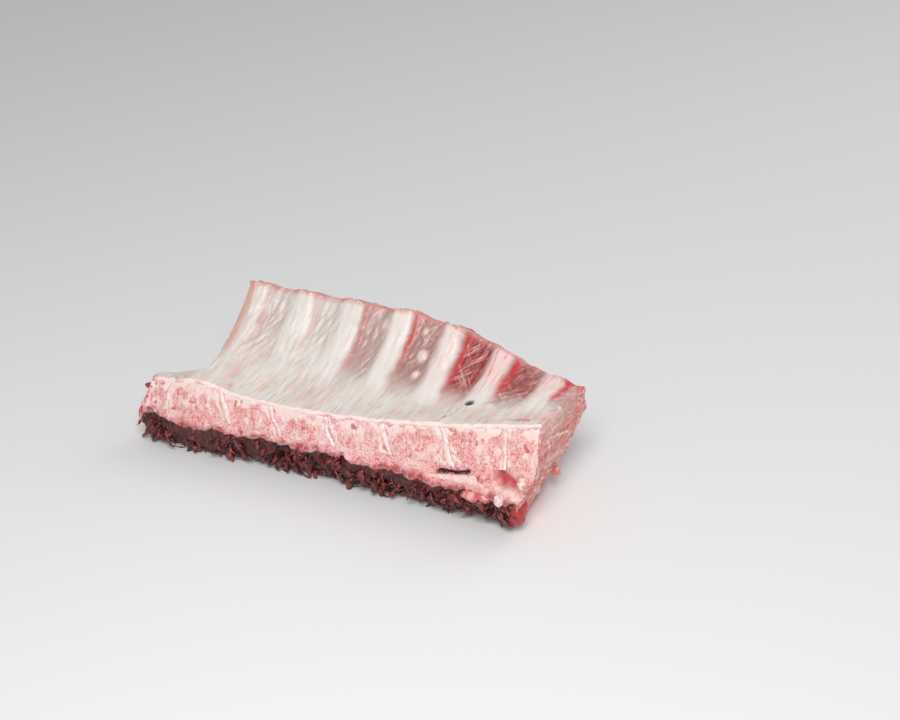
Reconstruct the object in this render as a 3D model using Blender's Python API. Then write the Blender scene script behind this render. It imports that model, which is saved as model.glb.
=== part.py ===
"""Raw rack of back ribs, split down the spine: meat, vertebra halves, discs, an arch plate and rib bones.

The rack lies on its outer side with the ribs curving up. In rack coordinates x runs along the spine
from the left end, y runs from the inner edge of the spine towards the rib tips, and z is up from the
surface it lies on. Each object is moved at the end so that the origin is the bottom centre of the box.
"""

import math

import bpy
import numpy as np

# The rack as a whole
SPINE_LENGTH = 0.2420
RIB_COUNT = 7
TISSUE_GAP = 0.0003

# Sawn face down the middle of the spine: its top edge has a knuckle near the left end
FACE_TOP_Z = 0.042
FACE_TOP_RISE = 0.0236
FACE_TOP_RISE_START = 0.35
FACE_TOP_RISE_POWER = 1.7
FACE_FOOT_Z = 0.0225
FACE_TILT = math.radians(25)
KNUCKLE_HEIGHT = 0.0048
KNUCKLE_AT = 0.13
KNUCKLE_SPREAD = 0.075

# Inner side and rim
RIB_REACH = 0.064
RIB_REACH_LOSS = 0.0135
RIM_Z = 0.0815
RIM_DROP = 0.019
RIM_THICKNESS = 0.0135
RIM_ANGLE = math.radians(30)
RIM_ANGLE_GROWTH = math.radians(18)
RIM_THICKNESS_LOSS = 0.0045
RIDGE_HEIGHT = 0.0030
RIDGE_HALF_WIDTH = 0.0084
RIDGE_FADE = (0.22, 0.70)
RIM_SCALLOP = 0.0010

# Control points of the section: share of the reach, and height above the edge as a share of the rise
INNER_FLAT = (0.40, 0.00)
INNER_BEND = (0.73, 0.34)
UNDER_FACE = (-0.006, -0.010)
UNDER_BOARD = (0.30, 0.88, -0.011)
UNDER_BULGE = (1.25, 0.40)
RIGHT_END_FROM = 0.70
RIGHT_END_LIFT = 0.012
RIGHT_END_BULGE_LOSS = 1.1

# How the cut ends run
RIB_LEAN = 0.007
LEFT_NOTCH = 0.0280
LEFT_NOTCH_FADE = 0.35
LEFT_NOTCH_FROM_Y = 0.004
LEFT_NOTCH_TO_Y = 0.013
LEFT_SLANT = 0.0075
LEFT_SLANT_DROP = 0.022
RIGHT_UNDERCUT = 0.013
RIGHT_UNDERCUT_BELOW_Z = 0.042
END_FADE_POWER = 7

# Ribs, at the rim
FIRST_RIB_X = 0.0398
RIB_PITCH = 0.0311
RIB_PITCH_GROWTH = 0.0002
RIB_HALF_WIDTH = 0.0052
RIB_HALF_THICKNESS = 0.0031
RIB_DEPTH = 0.0050
RIB_START = 0.24
RIB_PROUD = -0.0004

# Vertebra halves and discs
FIRST_DISC_X = 0.0140
DISC_PITCH = 0.0302
DISC_PITCH_GROWTH = 0.0007
DISC_THICKNESS = 0.0030
DISC_DEPTH_SHARE = 0.94
DISC_LEAN_AT_LEFT = -0.31
DISC_LEAN = 0.45
BODY_FROM = 0.0024
BODY_TO = 0.0185
BODY_TO_GROWTH = 0.0070
BODY_DEPTH = 0.0140
BODY_DEPTH_LOSS_AT_LEFT = 0.40
BODY_WAIST = 0.14
FACE_PROUD = 0.0002
POCKET_OVERRUN = 0.010
POCKET_RINGS = 48
VERTEBRA_RINGS = 7

# Bony arch under the spinal canal
ARCH_X = (0.180, 0.2150)
ARCH_FROM = 0.0287
ARCH_HEIGHT = (0.0016, 0.0080)
ARCH_DEPTH = 0.006
CANAL_X = (0.182, 0.203)
CANAL_FROM = 0.0264
CANAL_TO = 0.0277
CANAL_DEPTH = 0.005

# Lattice of the meat: steps along the spine, from spine to rim, and through the thickness
MEAT_STEPS = (52, 17, 2)


def smooth(low, high, value):
    """0 below low, 1 above high, and a smooth step between."""
    share = np.clip((value - low) / (high - low), 0.0, 1.0)
    return share * share * (3.0 - 2.0 * share)


def bezier(points, share):
    """Bezier curve through the first and last of the (y, z) control points, by repeated halfway mixing."""
    rows = [np.stack(np.broadcast_arrays(y, z, share), axis=-1)[..., :2] for y, z in points]
    share = share[..., None]
    while len(rows) > 1:
        rows = [a + (b - a) * share for a, b in zip(rows, rows[1:])]
    return rows[0]


def face_top(along):
    """Height of the spine's inner edge; it is highest at the right end."""
    climb = np.clip((along - FACE_TOP_RISE_START) / (1.0 - FACE_TOP_RISE_START), 0.0, None)
    knuckle = KNUCKLE_HEIGHT * np.exp(-(((along - KNUCKLE_AT) / KNUCKLE_SPREAD) ** 2))
    return FACE_TOP_Z + FACE_TOP_RISE * climb**FACE_TOP_RISE_POWER + knuckle


def face_width(along):
    """Width of the sawn face, measured down its slope to a foot of even height."""
    return (face_top(along) - FACE_FOOT_Z) / math.cos(FACE_TILT)


def reach(along):
    """Distance of the rim from the spine, shorter at the right end."""
    return RIB_REACH - RIB_REACH_LOSS * smooth(0.60, 1.0, along)


def rib_base(index):
    """Place of a rib along the spine; on its way to the rim it leans to the right."""
    return FIRST_RIB_X + RIB_PITCH * index + RIB_PITCH_GROWTH * index * index - RIB_LEAN


def ridge(base):
    """1 on each rib and 0 between them, as flat-topped bells."""
    total = np.zeros_like(base)
    for index in range(RIB_COUNT):
        total = total + np.exp(-(((base - rib_base(index)) / RIDGE_HALF_WIDTH) ** 4))
    return total


def rim_height(along):
    """Height of the rim's inner edge, a little higher at each rib."""
    scallop = RIM_SCALLOP * (ridge(along * SPINE_LENGTH) - 0.5)
    return RIM_Z - RIM_DROP * smooth(0.50, 1.08, along) + scallop


def inner_curve(along, out):
    """(y, z) of the inner side at out = 0 on the spine to 1 on the rim: flat at first, then steep."""
    top, far = face_top(along), reach(along)
    rise = rim_height(along) - top
    return bezier(
        [
            (np.zeros_like(along), top),
            (INNER_FLAT[0] * far, top + INNER_FLAT[1]),
            (INNER_BEND[0] * far, top + INNER_BEND[1] * rise),
            (far, top + rise),
        ],
        out,
    )


def outer_curve(along, out):
    """(y, z) of the outer side: under the sawn face, flat on the board, then up to the rim."""
    top, far, width, rim = face_top(along), reach(along), face_width(along), rim_height(along)
    right_end = smooth(RIGHT_END_FROM, 1.0, along)
    angle = RIM_ANGLE + RIM_ANGLE_GROWTH * right_end
    thick = RIM_THICKNESS - RIM_THICKNESS_LOSS * right_end
    lift = RIGHT_END_LIFT * right_end
    bulge = UNDER_BULGE[0] - RIGHT_END_BULGE_LOSS * right_end
    curve = bezier(
        [
            (-width * math.sin(FACE_TILT), top - width * math.cos(FACE_TILT)),
            (UNDER_FACE[0] - 0.2 * (width - 0.02), UNDER_FACE[1] + lift),
            (UNDER_BOARD[0] * far, UNDER_BOARD[2]),
            (UNDER_BOARD[1] * far, UNDER_BOARD[2] + lift),
            (far + bulge * thick, UNDER_BULGE[1] * rim),
            (far + np.cos(angle) * thick, rim - np.sin(angle) * thick),
        ],
        out,
    )
    curve[..., 1] = np.maximum(curve[..., 1], 0.0)
    return curve


def section_point(along, out, through):
    """(y, z) on the straight line that joins the inner curve to the outer one."""
    inner, outer = inner_curve(along, out), outer_curve(along, out)
    up = inner - outer
    up = up / np.linalg.norm(up, axis=-1, keepdims=True)
    relief = RIDGE_HEIGHT * smooth(*RIDGE_FADE, out) * (ridge(along * SPINE_LENGTH) - 0.5)
    inner = inner + up * relief[..., None]
    return inner + (outer - inner) * through[..., None]


def end_shift(along, y, z):
    """How far the cut ends move a point: the notch and the slant at the left, the undercut at the right."""
    at_left = np.clip(1.0 - along, 0.0, 1.0) ** END_FADE_POWER
    at_right = np.clip(along, 0.0, 1.0) ** END_FADE_POWER
    notch_fade = np.clip(1.0 - along / LEFT_NOTCH_FADE, 0.0, 1.0) ** 2
    notch = LEFT_NOTCH * smooth(LEFT_NOTCH_FROM_Y, LEFT_NOTCH_TO_Y, y) * notch_fade
    slant = LEFT_SLANT * np.clip((face_top(along) - z) / LEFT_SLANT_DROP, 0.0, 1.0) * at_left
    slant = slant * (1.0 - smooth(LEFT_NOTCH_FROM_Y, LEFT_NOTCH_TO_Y, y))
    undercut = RIGHT_UNDERCUT * np.clip(1.0 - z / RIGHT_UNDERCUT_BELOW_Z, 0.0, 1.0) * at_right
    return notch - slant - undercut


def block(along, out, through):
    """(x, y, z) in the meat: along the spine, out to the rim, and through to the outer side."""
    first = section_point(along, out, through)
    settled = along + end_shift(along, first[..., 0], first[..., 1]) / SPINE_LENGTH
    section = section_point(settled, out, through)
    x = SPINE_LENGTH * settled + RIB_LEAN * out
    return np.stack([x, section[..., 0], section[..., 1]], axis=-1)


def face_point(along, down, deep):
    """(x, y, z) at a distance down the sawn face from its top edge, and at a depth behind it."""
    y = -down * math.sin(FACE_TILT) + deep * math.cos(FACE_TILT)
    z = face_top(along) - down * math.cos(FACE_TILT) - deep * math.sin(FACE_TILT)
    return np.stack([along * SPINE_LENGTH, y, z], axis=-1)


def lattice_shell(steps):
    """The outside of a lattice of points: an array of (i, j, k) for its vertices, and its quads."""
    count = np.array(steps) + 1
    grid = np.stack(np.meshgrid(*[np.arange(n) for n in count], indexing="ij"), axis=-1).reshape(-1, 3)
    outside = ((grid == 0) | (grid == np.array(steps))).any(axis=1)
    number = np.full(len(grid), -1)
    number[outside] = np.arange(outside.sum())
    number = number.reshape(count)
    quads = []
    for axis in range(3):
        for side in (0, -1):
            sheet = np.moveaxis(number, axis, 0)[side]
            corners = [sheet[:-1, :-1], sheet[1:, :-1], sheet[1:, 1:], sheet[:-1, 1:]]
            turned = (side == 0) ^ (axis == 1)
            quads.append(np.stack(corners[::-1] if turned else corners, axis=-1).reshape(-1, 4))
    return grid[outside], np.concatenate(quads)


def material(name, color, roughness):
    """A Principled BSDF with one linear colour."""
    made = bpy.data.materials.new(name)
    made.use_nodes = True
    shader = made.node_tree.nodes["Principled BSDF"]
    shader.inputs["Base Color"].default_value = (*color, 1.0)
    shader.inputs["Roughness"].default_value = roughness
    shader.inputs["Metallic"].default_value = 0.0
    return made


def add_object(name, points, faces, finish, smooth_angle=40.0):
    """A mesh object whose vertices are already in place."""
    mesh = bpy.data.meshes.new(name)
    mesh.from_pydata(np.asarray(points).tolist(), [], [list(face) for face in faces])
    mesh.validate()
    mesh.shade_smooth()
    mesh.set_sharp_from_angle(angle=math.radians(smooth_angle))
    if finish is not None:
        mesh.materials.append(finish)
    made = bpy.data.objects.new(name, mesh)
    bpy.context.scene.collection.objects.link(made)
    return made


def add_cutter(name, points, faces, target):
    """A hidden closed mesh, and the Boolean that takes it out of the target."""
    cutter = add_object(name, points, faces, None)
    cutter.hide_render = True
    cutter.display_type = "WIRE"
    cut = target.modifiers.new(name, "BOOLEAN")
    cut.operation = "DIFFERENCE"
    cut.solver = "EXACT"
    cut.object = cutter


def loft(rings):
    """Quads between rings of points, and one face over each end ring."""
    rings = np.asarray(rings)
    ring_count, around = rings.shape[:2]
    faces = []
    for row in range(ring_count - 1):
        for k in range(around):
            following = (k + 1) % around
            low, high = row * around, (row + 1) * around
            faces.append((low + k, low + following, high + following, high + k))
    faces.append(tuple(range(around))[::-1])
    faces.append(tuple((ring_count - 1) * around + k for k in range(around)))
    return rings.reshape(-1, 3), faces


def disc_lean(along):
    """Shift to the right of a disc for each metre down the face; the first disc leans to the left."""
    swing = (DISC_LEAN - DISC_LEAN_AT_LEFT) * smooth(0.03, 0.17, along)
    return DISC_LEAN_AT_LEFT + swing - DISC_LEAN * smooth(0.80, 1.0, along)


def column_ring(x, grow, depth_share=1.0, arc_points=9):
    """Ring of the split spine at x: a straight sawn side and a half-round back, grown by a margin."""
    along = x / SPINE_LENGTH
    low = BODY_FROM - grow
    high = BODY_TO + BODY_TO_GROWTH * float(smooth(0.5, 0.85, along)) + grow
    turn = np.linspace(0.0, math.pi, arc_points)
    down = (low + high) / 2 - (high - low) / 2 * np.cos(turn)
    depth = BODY_DEPTH * (1.0 - BODY_DEPTH_LOSS_AT_LEFT * (1.0 - float(smooth(0.08, 0.22, along))))
    deep = (depth * depth_share + grow) * np.sin(turn) ** 0.7
    down = np.concatenate([[low], down, [high]])
    front = -FACE_PROUD - 10 * grow
    deep = np.concatenate([[front], deep, [front]])
    return face_point(along + disc_lean(along) * down / SPINE_LENGTH, down, deep)


def disc_x(index):
    """Place of a disc along the spine."""
    return FIRST_DISC_X + DISC_PITCH * index + DISC_PITCH_GROWTH * index * index


def bone_span(index):
    """(start, end) along the spine of a vertebra half; the first and last are cut short by the ends."""
    half = DISC_THICKNESS / 2 + TISSUE_GAP
    start = TISSUE_GAP if index == 0 else disc_x(index - 1) + half
    end = SPINE_LENGTH - TISSUE_GAP if index == RIB_COUNT else disc_x(index) - half
    return start, end


def add_vertebra(index, finish):
    """One vertebra half, waisted at the back between its discs."""
    start, end = bone_span(index)
    shares = np.linspace(0.0, 1.0, VERTEBRA_RINGS)
    rings = []
    for share in shares:
        waist = 1.0 - BODY_WAIST * math.sin(math.pi * share)
        rings.append(column_ring(start + (end - start) * share, 0.0, waist))
    return add_object(f"vertebra_{index + 1}", *loft(rings), finish)


def add_disc(index, finish):
    """One half disc between two vertebra halves."""
    half = DISC_THICKNESS / 2
    rings = [column_ring(disc_x(index) + side * half, 0.0, DISC_DEPTH_SHARE) for side in (-1.0, 1.0)]
    return add_object(f"disc_{index + 1}", *loft(rings), finish)


def rib_rings(index, grow, extra, steps=9, around=10):
    """Rings of one rib bone: ellipses carried along a line under the inner side, out past the rim."""
    base = rib_base(index)
    out = np.linspace(RIB_START, 1.0, steps)
    inner = inner_curve(np.full_like(out, base / SPINE_LENGTH), out)
    run = np.stack([base + RIB_LEAN * out, inner[:, 0], inner[:, 1]], axis=-1)
    tangent = np.gradient(run, axis=0)
    tangent = tangent / np.linalg.norm(tangent, axis=1, keepdims=True)
    side = np.cross(tangent, np.cross(np.array([1.0, 0.0, 0.0]), tangent))
    side = side / np.linalg.norm(side, axis=1, keepdims=True)
    up = np.cross(side, tangent)
    relief = RIDGE_HEIGHT * smooth(*RIDGE_FADE, out) * 0.5
    centre = run + up * (relief - RIB_DEPTH)[:, None]
    centre[-1] += tangent[-1] * (RIB_PROUD + extra)
    centre[0] -= tangent[0] * grow
    turn = np.linspace(0.0, 2.0 * math.pi, around, endpoint=False)
    wide, thick = RIB_HALF_WIDTH + grow, RIB_HALF_THICKNESS + grow
    return (
        centre[:, None, :]
        + side[:, None, :] * (wide * np.cos(turn))[None, :, None]
        + up[:, None, :] * (thick * np.sin(turn))[None, :, None]
    )


def arch_rings(grow):
    """Rings of the bony arch plate: a wedge under the canal that widens to the right."""
    rings = []
    for share in np.linspace(0.0, 1.0, 5):
        x = ARCH_X[0] - grow + (ARCH_X[1] - ARCH_X[0] + 2 * grow) * share
        height = ARCH_HEIGHT[0] + (ARCH_HEIGHT[1] - ARCH_HEIGHT[0]) * share
        low, high = ARCH_FROM - grow, ARCH_FROM + height + grow
        front, back = -FACE_PROUD - 10 * grow, ARCH_DEPTH + grow
        shoulder = back - 0.2 * ARCH_DEPTH
        down = np.array([low, low, low + 0.2 * height, high - 0.2 * height, high, high])
        deep = np.array([front, shoulder, back, back, shoulder, front])
        rings.append(face_point(np.full_like(down, x / SPINE_LENGTH), down, deep))
    return rings


def canal_rings():
    """Rings of the slot that the saw opened along the spinal canal."""
    rings = []
    for share in np.linspace(0.0, 1.0, 5):
        x = CANAL_X[0] + (CANAL_X[1] - CANAL_X[0]) * share
        down = np.array([CANAL_FROM, CANAL_FROM, CANAL_TO, CANAL_TO])
        deep = np.array([-0.003, CANAL_DEPTH, CANAL_DEPTH, -0.003])
        rings.append(face_point(np.full_like(down, x / SPINE_LENGTH), down, deep))
    return rings


def outward(points, faces):
    """The same faces, turned round if together they point inwards."""
    volume = 0.0
    for face in faces:
        for k in range(1, len(face) - 1):
            volume += np.dot(points[face[0]], np.cross(points[face[k]], points[face[k + 1]]))
    return points, faces if volume > 0 else [tuple(face)[::-1] for face in faces]


def add_meat(finish):
    """The meat: the shell of the block, with pockets for every bone."""
    places, quads = lattice_shell(MEAT_STEPS)
    along, out, through = (places / np.array(MEAT_STEPS)).T
    points = block(along, out, through)
    meat = add_object("meat", *outward(points, [tuple(quad) for quad in quads]), finish)
    column_x = np.linspace(-POCKET_OVERRUN, SPINE_LENGTH + POCKET_OVERRUN, POCKET_RINGS)
    column = [column_ring(x, TISSUE_GAP) for x in column_x]
    add_cutter("spine_pocket", *outward(*loft(column)), meat)
    add_cutter("arch_pocket", *outward(*loft(arch_rings(TISSUE_GAP))), meat)
    add_cutter("canal_slot", *outward(*loft(canal_rings())), meat)
    for index in range(RIB_COUNT):
        tunnel = rib_rings(index, TISSUE_GAP, 0.012)
        add_cutter(f"rib_tunnel_{index + 1}", *outward(*loft(tunnel)), meat)
    return meat, points


def main():
    for old in list(bpy.data.objects):
        bpy.data.objects.remove(old)
    flesh = material("meat", (0.62, 0.30, 0.27), 0.45)
    bone = material("bone", (0.76, 0.44, 0.41), 0.60)
    gristle = material("gristle", (0.82, 0.68, 0.64), 0.40)
    meat, points = add_meat(flesh)
    for index in range(RIB_COUNT + 1):
        add_vertebra(index, bone)
    for index in range(RIB_COUNT):
        add_disc(index, gristle)
        add_object(f"rib_{index + 1}", *loft(rib_rings(index, 0.0, 0.0)), bone)
    add_object("arch_plate", *loft(arch_rings(0.0)), bone)
    for made in bpy.data.objects:
        ends = made.data.vertices
        faces = [tuple(polygon.vertices) for polygon in made.data.polygons]
        corners = np.array([vertex.co for vertex in ends])
        if outward(corners, faces)[1] is not faces:
            made.data.flip_normals()
    middle = (points.min(axis=0) + points.max(axis=0)) / 2
    for made in bpy.data.objects:
        made.location = (-middle[0], -middle[1], 0.0)


main()
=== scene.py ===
# %% [markdown]
# # A raw rack of ribs
# The rack is half of a rib cage, split down the spine. It lies on its outer side and the ribs curve up.
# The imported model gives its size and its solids. This script gives it the looks: moist flesh, a pale
# membrane over the ribs, spongy sawn bone, gristle and torn strands of meat.

import itertools
import math

import bpy
import numpy as np
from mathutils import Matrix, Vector


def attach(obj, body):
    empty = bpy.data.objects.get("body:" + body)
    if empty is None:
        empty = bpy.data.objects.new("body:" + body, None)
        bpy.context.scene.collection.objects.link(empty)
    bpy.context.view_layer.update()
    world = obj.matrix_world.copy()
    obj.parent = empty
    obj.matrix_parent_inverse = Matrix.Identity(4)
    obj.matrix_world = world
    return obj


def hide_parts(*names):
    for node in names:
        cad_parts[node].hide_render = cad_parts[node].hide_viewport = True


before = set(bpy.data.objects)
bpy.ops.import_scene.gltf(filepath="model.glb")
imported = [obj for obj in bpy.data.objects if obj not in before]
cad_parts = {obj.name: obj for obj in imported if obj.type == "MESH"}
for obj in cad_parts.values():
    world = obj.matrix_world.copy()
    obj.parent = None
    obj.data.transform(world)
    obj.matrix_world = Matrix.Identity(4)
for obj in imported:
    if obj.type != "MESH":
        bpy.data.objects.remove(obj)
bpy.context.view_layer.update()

# %% [markdown]
# Every real surface here is a little uneven. Smooth random numbers in space, called value noise, give
# that: numbers sit on a cubic lattice, and between them they are blended. The same seed gives the same
# numbers in every run.

# %% Noise, steps and curves
TABLE_LENGTH = 4096
LATTICE_PRIMES = (73856093, 19349663, 83492791)


def noise(points, size, seed=0):
    """Value noise from -1 to 1: lattice numbers of the 8 corners, blended by 3f^2 - 2f^3 along each axis."""
    table = np.random.default_rng(seed).uniform(-1.0, 1.0, TABLE_LENGTH)
    scaled = points / size
    cell = np.floor(scaled).astype(np.int64)
    share = scaled - cell
    share = share * share * (3.0 - 2.0 * share)
    total = np.zeros(points.shape[:-1])
    for corner in itertools.product((0, 1), repeat=3):
        keys = (cell + corner) * LATTICE_PRIMES
        place = (keys[..., 0] ^ keys[..., 1] ^ keys[..., 2]) & (TABLE_LENGTH - 1)
        weight = np.prod(np.where(corner, share, 1.0 - share), axis=-1)
        total += table[place] * weight
    return total


def rough(points, size, octaves=3, seed=0):
    """Noise plus noise at half the size and half the strength, and so on."""
    layers = [noise(points, size / 2**k, seed + k) / 2**k for k in range(octaves)]
    return sum(layers)


def smooth(low, high, value):
    """0 below low, 1 above high, and s^2 (3 - 2s) between."""
    share = np.clip((value - low) / (high - low), 0.0, 1.0)
    return share * share * (3.0 - 2.0 * share)


def bell(value, middle, width, power=2):
    """1 in the middle, falling off as exp(-(distance / width)^power)."""
    return np.exp(-(np.abs((value - middle) / width) ** power))


def bezier(points, share):
    """Bezier curve through the first and last of the (y, z) control points, by repeated mixing."""
    rows = [np.stack(np.broadcast_arrays(y, z, share), axis=-1)[..., :2] for y, z in points]
    share = share[..., None]
    while len(rows) > 1:
        rows = [a + (b - a) * share for a, b in zip(rows, rows[1:])]
    return rows[0]


# %% [markdown]
# ## The form of the rack
# In rack coordinates x runs along the spine, y out to the rib tips and z up. The section has an inner
# curve, flat at the spine and steep at the rim, and an outer curve that rests on the board. The same
# functions shaped the solids, so the detailed skin lies where they are.

# %% Sizes of the rack, in metres
SPINE_LENGTH = 0.2420
RIB_COUNT = 7
FACE_TOP_Z, FACE_TOP_RISE, FACE_TOP_RISE_START, FACE_TOP_RISE_POWER = 0.042, 0.0236, 0.35, 1.7
FACE_FOOT_Z, FACE_TILT = 0.0225, math.radians(25)
KNUCKLE_HEIGHT, KNUCKLE_AT, KNUCKLE_SPREAD = 0.0048, 0.13, 0.075
RIB_REACH, RIB_REACH_LOSS, REACH_LOSS_SPAN = 0.064, 0.0135, (0.60, 1.0)
RIM_Z, RIM_DROP, RIM_DROP_SPAN, RIM_SCALLOP = 0.0815, 0.019, (0.50, 1.08), 0.0010
RIM_THICKNESS, RIM_THICKNESS_LOSS = 0.0135, 0.0045
RIM_ANGLE, RIM_ANGLE_GROWTH = math.radians(30), math.radians(18)
RIDGE_HEIGHT, RIDGE_HALF_WIDTH, RIDGE_FADE = 0.0030, 0.0084, (0.22, 0.70)
INNER_FLAT, INNER_BEND = (0.40, 0.00), (0.73, 0.34)
UNDER_FACE, UNDER_BOARD, UNDER_BULGE = (-0.006, -0.010), (0.30, 0.88, -0.011), (1.25, 0.40)
UNDER_FACE_SHIFT, PLAIN_WIDTH = 0.2, 0.02
RIGHT_END_FROM, RIGHT_END_LIFT, RIGHT_END_BULGE_LOSS = 0.70, 0.012, 1.1
RIB_LEAN = 0.007
LEFT_NOTCH, LEFT_NOTCH_FADE, LEFT_NOTCH_Y = 0.0280, 0.35, (0.004, 0.013)
LEFT_SLANT, LEFT_SLANT_DROP = 0.0075, 0.022
RIGHT_UNDERCUT, RIGHT_UNDERCUT_BELOW_Z = 0.013, 0.042
END_FADE_POWER = 7
FIRST_RIB_X, RIB_PITCH, RIB_PITCH_GROWTH = 0.0398, 0.0311, 0.0002
CAD_STEPS = (52, 17, 2)


# %% The section's two curves
def face_top(along):
    """Height of the spine's inner edge: level, a bell-shaped knuckle, and a power curve at the right."""
    climb = np.clip((along - FACE_TOP_RISE_START) / (1.0 - FACE_TOP_RISE_START), 0.0, None)
    knuckle = KNUCKLE_HEIGHT * np.exp(-(((along - KNUCKLE_AT) / KNUCKLE_SPREAD) ** 2))
    return FACE_TOP_Z + FACE_TOP_RISE * climb**FACE_TOP_RISE_POWER + knuckle


def face_width(along):
    """Width of the sawn face, measured down its slope to a foot of even height."""
    return (face_top(along) - FACE_FOOT_Z) / math.cos(FACE_TILT)


def reach(along):
    """Distance of the rim from the spine, shorter at the right end."""
    return RIB_REACH - RIB_REACH_LOSS * smooth(*REACH_LOSS_SPAN, along)


def rib_base(index):
    """Place of a rib along the spine."""
    return FIRST_RIB_X + RIB_PITCH * index + RIB_PITCH_GROWTH * index * index - RIB_LEAN


RIB_BASES = rib_base(np.arange(RIB_COUNT))


def ridge(base):
    """1 on each rib and 0 between them: a sum of flat-topped bells."""
    return sum(bell(base, middle, RIDGE_HALF_WIDTH, 4) for middle in RIB_BASES)


def rim_height(along):
    """Height of the rim's inner edge, a little higher at each rib."""
    scallop = RIM_SCALLOP * (ridge(along * SPINE_LENGTH) - 0.5)
    return RIM_Z - RIM_DROP * smooth(*RIM_DROP_SPAN, along) + scallop


def inner_curve(along, out):
    """(y, z) of the inner side at out = 0 on the spine to 1 on the rim: a cubic Bezier."""
    top, far = face_top(along), reach(along)
    rise = rim_height(along) - top
    flat = (INNER_FLAT[0] * far, top + INNER_FLAT[1])
    bend = (INNER_BEND[0] * far, top + INNER_BEND[1] * rise)
    return bezier([(np.zeros_like(along), top), flat, bend, (far, top + rise)], out)


def outer_curve(along, out):
    """(y, z) of the outer side: a Bezier under the face and up to the rim, cut flat at the board."""
    top, far, width, rim = face_top(along), reach(along), face_width(along), rim_height(along)
    right_end = smooth(RIGHT_END_FROM, 1.0, along)
    angle = RIM_ANGLE + RIM_ANGLE_GROWTH * right_end
    thick = RIM_THICKNESS - RIM_THICKNESS_LOSS * right_end
    lift = RIGHT_END_LIFT * right_end
    bulge = UNDER_BULGE[0] - RIGHT_END_BULGE_LOSS * right_end
    points = [
        (-width * math.sin(FACE_TILT), top - width * math.cos(FACE_TILT)),
        (UNDER_FACE[0] - UNDER_FACE_SHIFT * (width - PLAIN_WIDTH), UNDER_FACE[1] + lift),
        (UNDER_BOARD[0] * far, UNDER_BOARD[2]),
        (UNDER_BOARD[1] * far, UNDER_BOARD[2] + lift),
        (far + bulge * thick, UNDER_BULGE[1] * rim),
        (far + np.cos(angle) * thick, rim - np.sin(angle) * thick),
    ]
    curve = bezier(points, out)
    curve[..., 1] = np.maximum(curve[..., 1], 0.0)
    return curve


# %% From lattice shares to points
def section_point(along, out, through):
    """(y, z) on the straight line from the inner to the outer curve, and the unit vector up that line."""
    inner, outer = inner_curve(along, out), outer_curve(along, out)
    up = inner - outer
    up = up / np.linalg.norm(up, axis=-1, keepdims=True)
    relief = RIDGE_HEIGHT * smooth(*RIDGE_FADE, out) * (ridge(along * SPINE_LENGTH) - 0.5)
    inner = inner + up * relief[..., None]
    return inner + (outer - inner) * through[..., None], up


def end_shift(along, y, z):
    """How far the cut ends move a point: notch and slant at the left, undercut at the right."""
    at_left = np.clip(1.0 - along, 0.0, 1.0) ** END_FADE_POWER
    at_right = np.clip(along, 0.0, 1.0) ** END_FADE_POWER
    notch_fade = np.clip(1.0 - along / LEFT_NOTCH_FADE, 0.0, 1.0) ** 2
    beyond = smooth(*LEFT_NOTCH_Y, y)
    slant = LEFT_SLANT * np.clip((face_top(along) - z) / LEFT_SLANT_DROP, 0.0, 1.0) * at_left
    undercut = RIGHT_UNDERCUT * np.clip(1.0 - z / RIGHT_UNDERCUT_BELOW_Z, 0.0, 1.0) * at_right
    return LEFT_NOTCH * beyond * notch_fade - slant * (1.0 - beyond) - undercut


def block(along, out, through):
    """Points of the rack, their place along the spine before the lean, and the direction up."""
    first, _ = section_point(along, out, through)
    settled = along + end_shift(along, first[..., 0], first[..., 1]) / SPINE_LENGTH
    section, up = section_point(settled, out, through)
    base = SPINE_LENGTH * settled
    points = np.stack([base + RIB_LEAN * out, section[..., 0], section[..., 1]], axis=-1)
    return points, base, np.stack([np.zeros_like(base), up[..., 0], up[..., 1]], axis=-1)


def face_point(along, down, deep):
    """A point at a distance down the sawn face from its top edge, and at a depth behind it."""
    y = -down * math.sin(FACE_TILT) + deep * math.cos(FACE_TILT)
    z = face_top(along) - down * math.cos(FACE_TILT) - deep * math.sin(FACE_TILT)
    return np.stack([along * SPINE_LENGTH, y, z], axis=-1)


face_normal = np.array([0.0, -math.cos(FACE_TILT), math.sin(FACE_TILT)])
cad_lattice = np.meshgrid(*[np.linspace(0, 1, n + 1) for n in CAD_STEPS], indexing="ij")
cad_points = block(*cad_lattice)[0].reshape(-1, 3)
MIDDLE = (cad_points.min(axis=0) + cad_points.max(axis=0)) / 2 * (1, 1, 0)
print("the rack's coordinates are centred on", MIDDLE.round(4))

# %% [markdown]
# ## Putting arrays into meshes
# A mesh needs its vertices, its faces, and for each pattern that follows the surface an attribute: one
# number on each vertex, which a material can read by name.


# %% Mesh helpers
def add_piece(name, points, faces, replaced=(), masks=None):
    """A smooth mesh piece that rides on the rack, stands for CAD nodes and carries its masks."""
    mesh = bpy.data.meshes.new(name)
    mesh.from_pydata((points - MIDDLE).tolist(), [], faces)
    mesh.validate()
    mesh.shade_smooth()
    for mask, values in (masks or {}).items():
        kind, field = ("FLOAT", "value") if values.ndim == 1 else ("FLOAT_VECTOR", "vector")
        made = mesh.attributes.new(mask, kind, "POINT")
        made.data.foreach_set(field, values.astype(np.float32).ravel())
    piece = bpy.data.objects.new(name, mesh)
    bpy.context.scene.collection.objects.link(piece)
    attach(piece, "root")
    if replaced:
        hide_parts(*replaced)
    return piece


def outward(points, faces):
    """The faces as an array, turned round if together they enclose a negative volume."""
    a, b, c = points[faces[:, 0]], points[faces[:, 1]], points[faces[:, 2]]
    volume = (a * np.cross(b, c)).sum()
    if faces.shape[1] == 4:
        volume += (a * np.cross(c, points[faces[:, 3]])).sum()
    return faces if volume > 0 else faces[:, ::-1]


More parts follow.
